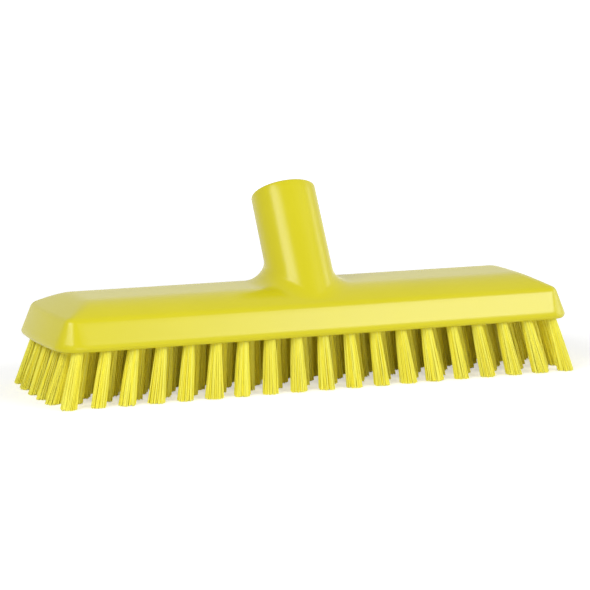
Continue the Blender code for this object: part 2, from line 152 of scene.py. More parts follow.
class NodeMaker:
    """Adds nodes to one material or world."""

    def __init__(self, tree: bpy.types.NodeTree) -> None:
        """Keep the tree, and empty it.

        Args:
            tree: The node tree of a material or of the world.
        """
        self.tree = tree
        tree.nodes.clear()

    def node(self, kind: str, settings: Optional[dict] = None,
             inputs: Optional[dict] = None) -> bpy.types.Node:
        """Add one node.

        Args:
            kind: The node's type.
            settings: Its own settings, set before its sockets.
            inputs: Values or links of its sockets, by name or number.

        Returns:
            The node.
        """
        node = self.tree.nodes.new(kind)
        for name, setting in (settings or {}).items():
            setattr(node, name, setting)
        for name, given in (inputs or {}).items():
            if isinstance(given, Value):
                self.tree.links.new(given.socket, node.inputs[name])
            else:
                node.inputs[name].default_value = given
        return node

    def add(self, kind: str, settings: Optional[dict] = None, inputs: Optional[dict] = None,
            output: Union[int, str] = 0) -> Value:
        """Add one node for the sake of one output, which is returned, by name or number."""
        return Value(self, self.node(kind, settings, inputs).outputs[output])

    def mix(self, share: Operand, first: Union[Value, Colour],
            second: Union[Value, Colour]) -> Value:
        """Return a colour between two, by a share from 0 to 1."""
        return self.add("ShaderNodeMix", {"data_type": "RGBA"},
                        {MIX_SHARE: share, MIX_FIRST: first, MIX_SECOND: second}, MIX_RESULT)

    def noise(self, place: Value, scale: float, detail: float) -> Value:
        """Return a soft random pattern from 0 to 1 over a place."""
        return self.add("ShaderNodeTexNoise", {},
                        {"Vector": place, "Scale": scale, "Detail": detail})

    def place(self, stretch: Stretch = (1.0, 1.0, 1.0)) -> Value:
        """Return the object's own coordinates in metres, stretched along its axes."""
        raw = self.add("ShaderNodeTexCoord", output="Object")
        return self.add("ShaderNodeVectorMath", {"operation": "MULTIPLY"}, {0: raw, 1: stretch})

    def ramp(self, source: Operand, low: float, high: float) -> Value:
        """Return 0 below a low mark, 1 above a high one, and a soft step between."""
        return self.add("ShaderNodeMapRange", {"interpolation_type": "SMOOTHSTEP"},
                        {"Value": source, "From Min": low, "From Max": high})

    def seen_directly(self) -> Value:
        """Tell what the camera sees, itself or in a reflection, from what lights the brush.

        Returns:
            1 for what is seen, and 0 for light.
        """
        camera = self.add("ShaderNodeLightPath", output="Is Camera Ray")
        glossy = self.add("ShaderNodeLightPath", output="Is Glossy Ray")
        through = self.add("ShaderNodeLightPath", output="Is Transmission Ray")
        return camera.at_least(glossy).at_least(through)


def new_material(name: str) -> tuple[bpy.types.Material, NodeMaker]:
    """Start a material.

    Args:
        name: The material's name.

    Returns:
        The material without nodes, and the maker of its nodes.
    """
    material = bpy.data.materials.new(name)
    material.use_nodes = True
    return material, NodeMaker(material.node_tree)


@dataclass(frozen=True)
class MouldedFinish:
    """Smooth moulded polypropylene with a faint orange-peel skin."""

    name: str = "moulded_yellow_surface"
    colour: Colour = (0.715, 0.640, 0.004, 1.0)
    thin_colour: Colour = (0.735, 0.658, 0.007, 1.0)
    roughness: float = 0.26
    roughness_spread: float = 0.05
    gloss_level: float = 0.40
    patch_scale: float = 22.0
    patch_detail: float = 3.0
    patch_low: float = 0.35
    patch_high: float = 0.65
    skin_scale: float = 620.0
    skin_detail: float = 2.0
    skin_depth: float = 0.000012
    flow_scale: float = 40.0
    flow_detail: float = 1.0
    flow_depth: float = 0.00007
    flow_stretch: Stretch = (0.25, 1.0, 1.0)

    def make(self) -> bpy.types.Material:
        """Make the material.

        Returns:
            The material.
        """
        material, nodes = new_material(self.name)
        patches = nodes.noise(nodes.place(), self.patch_scale, self.patch_detail)
        skin = nodes.noise(nodes.place(), self.skin_scale, self.skin_detail)
        flow = nodes.noise(nodes.place(self.flow_stretch), self.flow_scale, self.flow_detail)
        height = skin * self.skin_depth + flow * self.flow_depth
        bump = nodes.add("ShaderNodeBump", {}, {"Strength": 1.0, "Distance": 1.0, "Height": height})
        thinness = nodes.ramp(patches, self.patch_low, self.patch_high)
        surface = nodes.add("ShaderNodeBsdfPrincipled", {}, {
            "Base Color": nodes.mix(thinness, self.colour, self.thin_colour),
            "Roughness": self.roughness + (patches - NOISE_MIDDLE) * self.roughness_spread,
            "Specular IOR Level": self.gloss_level,
            "Normal": bump,
        })
        nodes.node("ShaderNodeOutputMaterial", {}, {"Surface": surface})
        return material


@dataclass(frozen=True)
class BristleFinish:
    """Satin filament, each strand a little different, with pale cut ends."""

    name: str = "bristle_yellow_surface"
    colour: Colour = (0.990, 0.960, 0.170, 1.0)
    warm_colour: Colour = (0.985, 0.890, 0.040, 1.0)
    cut_colour: Colour = (0.990, 0.950, 0.280, 1.0)
    roughness: float = 0.40
    roughness_spread: float = 0.10
    gloss_level: float = 0.2
    streak_scale: float = 900.0
    streak_detail: float = 2.0
    streak_stretch: Stretch = (1.0, 1.0, 0.08)
    tint_share: float = 0.85
    cut_height: float = 0.0009
    cut_share: float = 0.6
    cut_roughness: float = 0.2

    def make(self) -> bpy.types.Material:
        """Make the material.

        Returns:
            The material.
        """
        material, nodes = new_material(self.name)
        tint = nodes.add("ShaderNodeAttribute", {"attribute_name": TINT_ATTRIBUTE}, output="Fac")
        streaks = nodes.noise(nodes.place(self.streak_stretch), self.streak_scale,
                              self.streak_detail)
        height = nodes.add("ShaderNodeSeparateXYZ", {}, {0: nodes.place()}, "Z")
        paleness = tint * self.tint_share + streaks * (1 - self.tint_share)
        body = nodes.mix(paleness, self.warm_colour, self.colour)
        cut = 1 - nodes.ramp(height, 0.0, self.cut_height)
        roughness = self.roughness + (streaks - NOISE_MIDDLE) * self.roughness_spread
        surface = nodes.add("ShaderNodeBsdfPrincipled", {}, {
            "Base Color": nodes.mix(cut * self.cut_share, body, self.cut_colour),
            "Roughness": roughness + cut * self.cut_roughness,
            "Specular IOR Level": self.gloss_level,
        })
        nodes.node("ShaderNodeOutputMaterial", {}, {"Surface": surface})
        return material


@dataclass(frozen=True)
class StudioFloorFinish:
    """Pale floor that shows white and keeps the brush's soft shadow."""

    name: str = "studio_floor"
    colour: Colour = (0.85, 0.85, 0.85, 1.0)
    lift: float = 0.48
    far_lift: float = 0.45
    near_edge: float = 0.14
    far_edge: float = 0.9

    def make(self) -> bpy.types.Material:
        """Make the material.

        Returns:
            The material, which is lifted to white only where it is seen.
        """
        material, nodes = new_material(self.name)
        seen = nodes.seen_directly()
        away = nodes.add("ShaderNodeVectorMath", {"operation": "LENGTH"},
                         {0: nodes.place()}, "Value")
        lift = self.lift + nodes.ramp(away, self.near_edge, self.far_edge) * self.far_lift
        matt = nodes.add("ShaderNodeBsdfDiffuse", {}, {"Color": self.colour})
        glow = nodes.add("ShaderNodeEmission", {}, {"Color": seen * lift, "Strength": 1.0})
        both = nodes.add("ShaderNodeAddShader", {}, {0: matt, 1: glow})
        nodes.node("ShaderNodeOutputMaterial", {}, {"Surface": both})
        return material


# ---------------------------------------------------------------- mesh making


class LoopMesh:
    """A mesh that grows loop by loop."""

    def __init__(self) -> None:
        """Start empty."""
        self.mesh = bmesh.new()

    def loop(self, points: Iterable[Iterable[float]]) -> Loop:
        """Add one closed loop of vertices."""
        return [self.mesh.verts.new(point) for point in points]

    def bridge(self, loops: list[Loop]) -> None:
        """Join each loop to the next with a band of quads.

        Args:
            loops: Loops of equal length, in order.
        """
        for first, second in zip(loops, loops[1:]):
            for index, vertex in enumerate(first):
                after = (index + 1) % len(first)
                self.mesh.faces.new((vertex, first[after], second[after], second[index]))

    def cap(self, loop: Loop) -> None:
        """Close a loop with one face."""
        self.mesh.faces.new(loop)

    def fill(self, outer: Loop, holes: list[Loop], places: Iterable[Plan],
             height: Optional[Callable[[float, float], float]] = None) -> None:
        """Fill the plan area between an outer loop and its holes with triangles.

        Args:
            outer: The loop round the area.
            holes: Loops inside it that stay open.
            places: Plan places of further vertices inside the area.
            height: Gives the level of those vertices.
        """
        vertices = list(outer)
        edges = [(i, (i + 1) % len(outer)) for i in range(len(outer))]
        for hole in holes:
            start = len(vertices)
            vertices += hole
            edges += [(start + i, start + (i + 1) % len(hole)) for i in range(len(hole))]
        vertices += [self.mesh.verts.new((x, y, height(x, y))) for x, y in places]
        reach = max(abs(vertex.co.x) for vertex in vertices)
        plan = [Vector((vertex.co.x / reach, vertex.co.y / reach)) for vertex in vertices]
        outlines = [[tuple(vertex.co.xy / reach) for vertex in hole] for hole in holes]
        _, _, faces, originals, _, _ = delaunay_2d_cdt(plan, edges, [], FILL_INSIDE, NO_TOLERANCE)
        for face in faces:
            corners = [originals[index][0] for index in face]
            middle = sum((plan[corner] for corner in corners), Vector((0, 0))) / len(corners)
            if not any(near(middle, outline) and inside(middle, outline) for outline in outlines):
                self.mesh.faces.new([vertices[corner] for corner in corners])

    def finish(self, name: str, material: bpy.types.Material,
               sharp_angle: float) -> bpy.types.Object:
        """Turn the mesh into an object.

        Args:
            name: The object's name.
            material: Its one material.
            sharp_angle: Edges that turn by more than this stay sharp.

        Returns:
            The new object.
        """
        bmesh.ops.recalc_face_normals(self.mesh, faces=self.mesh.faces)
        mesh = bpy.data.meshes.new(name)
        self.mesh.to_mesh(mesh)
        self.mesh.free()
        mesh.shade_smooth()
        mesh.set_sharp_from_angle(angle=sharp_angle)
        return add_object(name, mesh, material)


def add_object(name: str, mesh: bpy.types.Mesh, material: bpy.types.Material) -> bpy.types.Object:
    """Add a mesh to the scene.

    Args:
        name: The object's name.
        mesh: The finished mesh.
        material: Its one material.

    Returns:
        The new object.
    """
    mesh.materials.append(material)
    made = bpy.data.objects.new(name, mesh)
    bpy.context.scene.collection.objects.link(made)
    return made


def inside(point: Plan, outline: list[Plan]) -> bool:
    """Say whether a plan point lies inside a closed outline.

    Args:
        point: The point.
        outline: The outline's corners, in order.

    Returns:
        Whether a line from the point to the right crosses the outline an odd number of times.
    """
    hit = False
    for (x1, y1), (x2, y2) in zip(outline, outline[1:] + outline[:1]):
        if (y1 > point[1]) != (y2 > point[1]):
            if point[0] < x1 + (point[1] - y1) * (x2 - x1) / (y2 - y1):
                hit = not hit
    return hit


def near(point: Plan, outline: list[Plan]) -> bool:
    """Say whether a plan point lies in the bounding rectangle of an outline.

    Args:
        point: The point.
        outline: The outline's corners.

    Returns:
        Whether it lies in the rectangle or on its edge.
    """
    xs = [corner[0] for corner in outline]
    ys = [corner[1] for corner in outline]
    return min(xs) <= point[0] <= max(xs) and min(ys) <= point[1] <= max(ys)


def grown(outline: list[Plan], factor: float) -> list[Plan]:
    """Scale an outline about the mean of its corners.

    Args:
        outline: The outline's corners.
        factor: More than 1 to grow it, less than 1 to shrink it.

    Returns:
        The new corners.
    """
    middle_x = sum(point[0] for point in outline) / len(outline)
    middle_y = sum(point[1] for point in outline) / len(outline)
    return [(middle_x + (x - middle_x) * factor, middle_y + (y - middle_y) * factor)
            for x, y in outline]


def held(number: float, limit: float) -> float:
    """Return a number, held between a limit's negative and the limit."""
    return max(-limit, min(number, limit))


def soft_minimum(first: float, second: float, softness: float) -> float:
    """Find the lower of two heights, rounded where they are nearly equal.

    Args:
        first: One height.
        second: The other.
        softness: How near each other the two are where the rounding starts.

    Returns:
        The height, whose slope has no step.
    """
    gap = abs(first - second)
    lower = min(first, second)
    if gap < softness:
        lower -= (softness - gap) ** 2 / softness / 4
    return lower


def arc_point(first: Vector, corner: Vector, last: Vector, share: float, weight: float) -> Vector:
    """Find a point of the curve that touches two lines which meet in a corner.

    Args:
        first: Where the curve starts, on the first line.
        corner: Where the lines meet.
        last: Where the curve ends, on the second line.
        share: How far along the curve, from 0 to 1.
        weight: How near the curve comes to the corner. The sine of half the angle between
            the lines makes it an arc, and 1 makes it a parabola.

    Returns:
        The point.
    """
    shares = ((1 - share) ** 2, 2 * weight * share * (1 - share), share ** 2)
    total = first * shares[0] + corner * shares[1] + last * shares[2]
    return total / sum(shares)


# ---------------------------------------------------------------- moulded block


@dataclass(frozen=True)
class Socket:
    """Leaning round socket with a threaded blind bore."""

    # Sizes. The axis starts on the block's flat top.
    lean: float = math.radians(30.3)
    start_y: float = -0.0045
    length: float = 0.0488
    rim_radius: float = 0.0160
    base_radius: float = 0.0161
    rim_round: float = 0.0013
    wall: float = 0.0045
    fillet: float = 0.0097
    bore_depth: float = 0.042
    mouth_chamfer: float = 0.0010
    thread_pitch: float = 0.0050
    thread_depth: float = 0.0009
    thread_lead_in: float = 0.0065
    thread_turns: int = 5
    # Fineness of the mesh.
    sides: int = 112
    fillet_steps: int = 12
    wall_steps: int = 14
    rim_steps: int = 6
    thread_rows_per_turn: int = 14
    search_steps: int = 40
    # How much of the way to the block's upper edge the fillet may take.
    room_share: float = 0.85

    @property
    def axis(self) -> Vector:
        """Direction of the socket."""
        return Vector((0, math.sin(self.lean), math.cos(self.lean)))

    @property
    def bore_radius(self) -> float:
        """Radius of the bore at the thread's roots."""
        return self.rim_radius - self.wall

    def angles(self) -> list[float]:
        """Return the angles of the socket's side lines."""
        return [FULL_TURN * step / self.sides for step in range(self.sides)]

    def radial(self, angle: float) -> Vector:
        """Return the direction away from the axis at an angle."""
        across = Vector((1, 0, 0))
        return across * math.cos(angle) + self.axis.cross(across) * math.sin(angle)

    def point(self, ridge: float, along: float, radius: float, angle: float) -> Vector:
        """Find a point beside the axis.

        Args:
            ridge: Level of the block's flat top, where the axis starts.
            along: Distance along the axis.
            radius: Distance from the axis.
            angle: Angle round the axis.

        Returns:
            The point.
        """
        start = Vector((0, self.start_y, ridge))
        return start + self.axis * along + self.radial(angle) * radius

    def thread_radius(self, depth: float, angle: float) -> float:
        """Find the bore's radius, with its rounded right-hand thread.

        Args:
            depth: Distance below the rim, along the axis.
            angle: Angle round the axis.

        Returns:
            The radius.
        """
        turns = (depth - self.thread_lead_in) / self.thread_pitch
        if turns <= 0 or turns >= self.thread_turns:
            return self.bore_radius
        fade = min(turns, self.thread_turns - turns, 1)
        wave = (1 + math.cos(FULL_TURN * turns + angle)) / 2
        return self.bore_radius - self.thread_depth * fade * wave

    def bore_depths(self) -> list[float]:
        """Find the depths of the rings down the bore.

        Returns:
            The depths below the rim, along the axis.
        """
        rows = self.thread_turns * self.thread_rows_per_turn
        step = self.thread_pitch / self.thread_rows_per_turn
        rings = [self.thread_lead_in + step * row for row in range(rows + 1)]
        return [self.mouth_chamfer, self.thread_lead_in / 2, *rings, self.bore_depth]

    def rings(self) -> list[tuple[float, list[float]]]:
        """Find the rings over the rim and down the bore.

        Returns:
            Each ring's place along the axis, and its radius at each side line.
        """
        rings = []
        for step in range(self.rim_steps + 1):
            turn = step / self.rim_steps * QUARTER_TURN
            along = self.length - self.rim_round * (1 - math.sin(turn))
            radius = self.rim_radius - self.rim_round * (1 - math.cos(turn))
            rings.append((along, [radius] * self.sides))
        rings.append((self.length, [self.bore_radius + self.mouth_chamfer] * self.sides))
        for depth in self.bore_depths():
            radii = [self.thread_radius(depth, angle) for angle in self.angles()]
            rings.append((self.length - depth, radii))
        return rings


@dataclass(frozen=True)
class MouldedBlock:
    """Block and socket in one moulding."""

    # From the frame.
    half_length: float
    half_width: float
    underside: float
    # Sizes. The flat top ends in a sloping flank at each side and a plane hip at each end.
    socket: Socket = field(default_factory=Socket)
    corner_radius: float = 0.0104
    shoulder_corner_radius: float = 0.0040
    end_bow: float = 0.0027
    side_height: float = 0.0146
    side_draft: float = 0.0054
    foot_round_height: float = 0.0020
    foot_round_inset: float = 0.0012
    shoulder_round: float = 0.0017
    shoulder_weight: float = 1.0
    top_rise: float = 0.0067
    hip_length: float = 0.0145
    flank_width: float = 0.0106
    hip_softness: float = 0.0018
    flank_softness: float = 0.0052
    hole_radius: float = 0.00312
    hole_depth: float = 0.0040
    # Fineness of the mesh.
    corner_steps: int = 12
    side_steps: int = 72
    end_steps: int = 18
    foot_steps: int = 7
    side_levels: int = 5
    shoulder_steps: int = 6
    hole_sides: int = 18
    column_step: float = 0.0032
    sharp_angle: float = math.radians(40)
    # Rows of the top, as shares of the flank's width in from the upper edge.
    row_shares: tuple[float, ...] = (0.24, 0.35, 0.46, 0.57, 0.68, 0.8, 0.92,
                                     1.04, 1.16, 1.28, 1.4, 1.55, 1.75, 2.1)
    # Columns before and on the hip, as shares of the hip's length from its crease.
    before_hip_shares: tuple[float, ...] = (0.25, 0.18, 0.12, 0.06)
    on_hip_shares: tuple[float, ...] = (0.0, 0.06, 0.12, 0.18, 0.25, 0.4, 0.6, 0.8)
    # The even columns stop one of this many parts of the hip's length before its crease.
    hip_parts: int = 3
    # How far the places of the top keep from the upper edge and from the socket's foot.
    edge_factor: float = 0.992
    foot_factor: float = 1.05

    @classmethod
    def from_frame(cls) -> "MouldedBlock":
        """Take the block's outer sizes from the frame."""
        low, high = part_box("brush_block")
        return cls(half_length=high[0], half_width=high[1], underside=low[2])

    @property
    def shoulder(self) -> float:
        """Level of the block's upper edge."""
        return self.underside + self.side_height

    @property
    def ridge(self) -> float:
        """Level of the flat top."""
        return self.shoulder + self.top_rise

    @property
    def top_half_length(self) -> float:
        """Half length at the upper edge."""
        return self.half_length - self.side_draft

    @property
    def top_half_width(self) -> float:
        """Half width at the upper edge."""
        return self.half_width - self.side_draft

    def bow_share(self, y: float) -> float:
        """Return the share of the half length that is left at a Y place."""
        return 1 - self.end_bow / self.half_length * (y / self.half_width) ** 2

    def flank_rise(self, y: float) -> float:
        """Return how far the flat top or its sloping flank stands above the upper edge."""
        flank = self.top_rise * (self.top_half_width - abs(y)) / self.flank_width
        return soft_minimum(self.top_rise, flank, self.flank_softness)

    def crown_height(self, x: float, y: float) -> float:
        """Return the level of the top at a plan point."""
        hip = self.top_rise * (self.top_half_length * self.bow_share(y) - abs(x)) / self.hip_length
        return self.shoulder + soft_minimum(self.flank_rise(y), hip, self.hip_softness)

    def crown_normal(self, point: Vector) -> Vector:
        """Find the way that the top faces, away from its ends.

        Args:
            point: A point of the top.

        Returns:
            The unit normal.
        """
        step = self.hip_softness
        higher = self.crown_height(point.x, point.y + step)
        rise = higher - self.crown_height(point.x, point.y - step)
        return Vector((0, -rise / step / 2, 1)).normalized()

    def crease_place(self, y: float) -> float:
        """Return the X place at which the hip meets the rest of the top."""
        end = self.top_half_length * self.bow_share(y)
        return end - self.hip_length * self.flank_rise(y) / self.top_rise

    def outline(self, inset: float, radius: float) -> list[Plan]:
        """Find the plan outline at an inset from the widest level, anticlockwise.

        Args:
            inset: Distance inward from the widest outline.
            radius: Radius of the corners.

        Returns:
            The points, with the ends bowed outward in the middle.
        """
        straight_x = self.half_length - inset - radius
        straight_y = self.half_width - inset - radius
        points = []
        for quarter, (sign_x, sign_y) in enumerate(((1, 1), (-1, 1), (-1, -1), (1, -1))):
            for step in range(self.corner_steps + 1):
                angle = (quarter + step / self.corner_steps) * QUARTER_TURN
                points.append((sign_x * straight_x + radius * math.cos(angle),
                               sign_y * straight_y + radius * math.sin(angle)))
            along_side = sign_x == sign_y
            count = self.side_steps if along_side else self.end_steps
            for share in (1 - 2 * step / count for step in range(1, count)):
                if along_side:
                    points.append((sign_x * share * straight_x, sign_y * (straight_y + radius)))
                else:
                    points.append((sign_x * (straight_x + radius), sign_y * share * straight_y))
        return [(x * self.bow_share(y), y) for x, y in points]

    def level_loop(self, inset: float, level: float) -> list[Vector]:
        """Find the points of the drafted side at one level.

        Args:
            inset: Distance inward from the widest outline.
            level: The points' height.

        Returns:
            The points.
        """
        spread = self.shoulder_corner_radius - self.corner_radius
        radius = self.corner_radius + spread * inset / self.side_draft
        return [Vector((x, y, level)) for x, y in self.outline(inset, radius)]

    def side_rings(self) -> list[list[Vector]]:
        """Find the rings of the rounded foot, the drafted side and the rounded upper edge.

        Returns:
            The rings' points, from the underside up.
        """
        rings = []
        widest = self.underside + self.foot_round_height
        for step in range(self.foot_steps + 1):
            turn = step / self.foot_steps * QUARTER_TURN
            rings.append(self.level_loop(self.foot_round_inset * (1 - math.sin(turn)),
                                         widest - self.foot_round_height * math.cos(turn)))
        start_share = 1 - self.shoulder_round / (self.shoulder - widest)
        for step in range(1, self.side_levels + 1):
            share = start_share * step / self.side_levels
            level = widest + (self.shoulder - widest) * share
            rings.append(self.level_loop(self.side_draft * share, level))
        corner = self.level_loop(self.side_draft, self.shoulder)
        inner = self.outline(self.side_draft + self.shoulder_round,
                             self.shoulder_corner_radius - self.shoulder_round)
        last = [Vector((x, y, self.crown_height(x, y))) for x, y in inner]
        first = rings[-1]
        for step in range(1, self.shoulder_steps + 1):
            share = step / self.shoulder_steps
            rings.append([arc_point(*three, share, self.shoulder_weight)
                          for three in zip(first, corner, last)])
        return rings

    def fillet_line(self, angle: float) -> list[Vector]:
        """Find the fillet's points on one side line of the socket.

        Args:
            angle: The side line's angle round the axis.

        Returns:
            The points, from the block's top up to the socket's wall.
        """
        socket = self.socket
        low, high = -socket.length, socket.length
        for _ in range(socket.search_steps):
            middle = (low + high) / 2
            foot = socket.point(self.ridge, middle, socket.base_radius, angle)
            if foot.z > self.crown_height(foot.x, foot.y):
                high = middle
            else:
                low = middle
        normal = self.crown_normal(foot)
        radial = socket.radial(angle)
        outward = (radial - normal * radial.dot(normal)).normalized()
        half_angle = socket.axis.angle(outward) / 2
        tangent = socket.fillet / math.tan(half_angle)
        if outward.y * foot.y > 0:
            room = (self.top_half_width - abs(foot.y)) * socket.room_share
            tangent = min(tangent, room / abs(outward.y))
        lower = foot + outward * tangent
        lower.z = self.crown_height(lower.x, lower.y)
        upper = foot + socket.axis * tangent
        return [arc_point(lower, foot, upper, step / socket.fillet_steps, math.sin(half_angle))
                for step in range(socket.fillet_steps + 1)]

    def crown_places(self, outer: list[Plan], keep_out: list[Plan]) -> list[Plan]:
        """Find the inner plan places of the top, in rows that follow its creases.

        Args:
            outer: The outline that the places stay within.
            keep_out: The outline round the socket's foot.

        Returns:
            The plan places.
        """
        rows = [self.top_half_width - self.flank_width * share for share in self.row_shares]
        places = []
        for y in [0.0, *rows, *(-row for row in rows)]:
            crease = self.crease_place(y)
            end = self.top_half_length * self.bow_share(y)
            even_end = crease - self.hip_length / self.hip_parts
            columns = max(round(even_end / self.column_step), 1)
            xs = [even_end * column / columns for column in range(columns + 1)]
            xs += [crease - self.hip_length * share for share in self.before_hip_shares]
            xs += [crease + (end - crease) * share for share in self.on_hip_shares]
            places += [(x, y) for x in xs] + [(-x, y) for x in xs if x > 0]
        return [place for place in places if inside(place, outer) and not inside(place, keep_out)]

    def build_outside(self, made: LoopMesh) -> Loop:
        """Build the sides, the top and the socket.

        Args:
            made: The mesh to add to.

        Returns:
            The lowest loop, round the underside.
        """
        sides = [made.loop(ring) for ring in self.side_rings()]
        made.bridge(sides)
        fillet = [self.fillet_line(angle) for angle in self.socket.angles()]
        rings = [made.loop([line[step] for line in fillet])
                 for step in range(self.socket.fillet_steps + 1)]
        upper = self.socket_rings([line[-1] for line in fillet], made)
        outer = grown([tuple(vertex.co.xy) for vertex in sides[-1]], self.edge_factor)
        keep_out = grown([tuple(vertex.co.xy) for vertex in rings[0]], self.foot_factor)
        made.fill(sides[-1], [rings[0]], self.crown_places(outer, keep_out), self.crown_height)
        made.bridge(rings + upper)
        made.cap(upper[-1])
        return sides[0]

    def socket_rings(self, start: list[Vector], made: LoopMesh) -> list[Loop]:
        """Build the socket's wall, rim and threaded bore.

        Args:
            start: The points where the fillet ends.
            made: The mesh to add to.

        Returns:
            The loops, from the fillet over the rim to the bore's floor.
        """
        socket = self.socket
        rim = socket.rings()
        edge = [socket.point(self.ridge, rim[0][0], radius, angle)
                for radius, angle in zip(rim[0][1], socket.angles())]
        loops = []
        for step in range(1, socket.wall_steps):
            share = step / socket.wall_steps
            loops.append(made.loop([low.lerp(high, share) for low, high in zip(start, edge)]))
        for along, radii in rim:
            loops.append(made.loop([socket.point(self.ridge, along, radius, angle)
                                    for radius, angle in zip(radii, socket.angles())]))
        return loops

    def build_underside(self, made: LoopMesh, lowest: Loop, roots: list[Plan]) -> None:
        """Build the flat underside with a blind hole for each tuft.

        Args:
            made: The mesh to add to.
            lowest: The loop round the underside.
            roots: Plan places of the tufts' roots.
        """
        mouths = []
        for x, y in roots:
            ring = [(x + self.hole_radius * math.cos(FULL_TURN * side / self.hole_sides),
                     y + self.hole_radius * math.sin(FULL_TURN * side / self.hole_sides))
                    for side in range(self.hole_sides)]
            mouth = made.loop([(px, py, self.underside) for px, py in ring])
            floor = made.loop([(px, py, self.underside + self.hole_depth) for px, py in ring])
            made.bridge([mouth, floor])
            made.cap(floor)
            mouths.append(mouth)
        made.fill(lowest, mouths, [])

    def build(self, roots: list[Plan]) -> bpy.types.Object:
        """Build and dress the moulding.

        Args:
            roots: Plan places of the tufts' roots.

        Returns:
            The object.
        """
        made = LoopMesh()
        lowest = self.build_outside(made)
        self.build_underside(made, lowest, roots)
        block = made.finish("moulded_block", MouldedFinish().make(), self.sharp_angle)
        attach(block, BODY)
        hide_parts("brush_block")
        LOG.info("moulded block: %d faces", len(block.data.polygons))
        return block


# ---------------------------------------------------------------- tufts


@dataclass(frozen=True)
class Filament:
    """One filament's line, from inside its hole to its cut end.

    Its tint, from 0 to 1, sets its shade and also turns its flat sides.
    """

    points: list[Vector]
    tint: float


